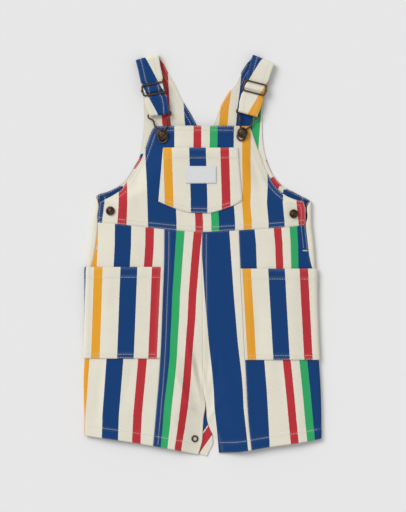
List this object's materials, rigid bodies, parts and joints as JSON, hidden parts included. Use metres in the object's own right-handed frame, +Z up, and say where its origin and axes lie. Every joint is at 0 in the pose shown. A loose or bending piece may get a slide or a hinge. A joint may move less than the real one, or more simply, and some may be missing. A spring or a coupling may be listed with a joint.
{
  "type": "kids' bib overalls with short legs",
  "caption": "Striped toddler's bib shortalls laid flat, front up, with buckled straps, bib and hip pockets, side buttons and an inside-leg snap.",
  "frame": {"origin": "below the middle of the garment's outline, on the surface that its back lies on", "axes": "+X to the viewer's right across the garment, +Y from the leg hems to the shoulder straps, +Z up off the surface, through the front"},
  "size_m": [0.3091, 0.5241, 0.0137],
  "materials": {
    "striped_cloth": "matt cotton twill with lengthwise stripes in cream, blue, red, green and yellow",
    "label_cloth": "plain pale grey woven tape",
    "bronze": "dark antique bronze, worn a little at the edges"
  },
  "bodies": {
    "root": {"front_bib": "striped_cloth", "front_left_side": "striped_cloth", "front_left_centre": "striped_cloth", "front_right_centre": "striped_cloth", "front_right_side": "striped_cloth", "back_left": "striped_cloth", "back_right": "striped_cloth", "bib_pocket": "striped_cloth", "hip_pocket_left": "striped_cloth", "hip_pocket_right": "striped_cloth", "strap_left": "striped_cloth", "strap_right": "striped_cloth", "bib_label": "label_cloth", "hook_left": "bronze", "hook_right": "bronze", "slider_left": "bronze", "slider_right": "bronze", "bib_button_left": "bronze", "bib_button_right": "bronze", "side_button_left": "bronze", "side_button_right": "bronze", "inseam_snap": "bronze"}
  },
  "joints": []
}
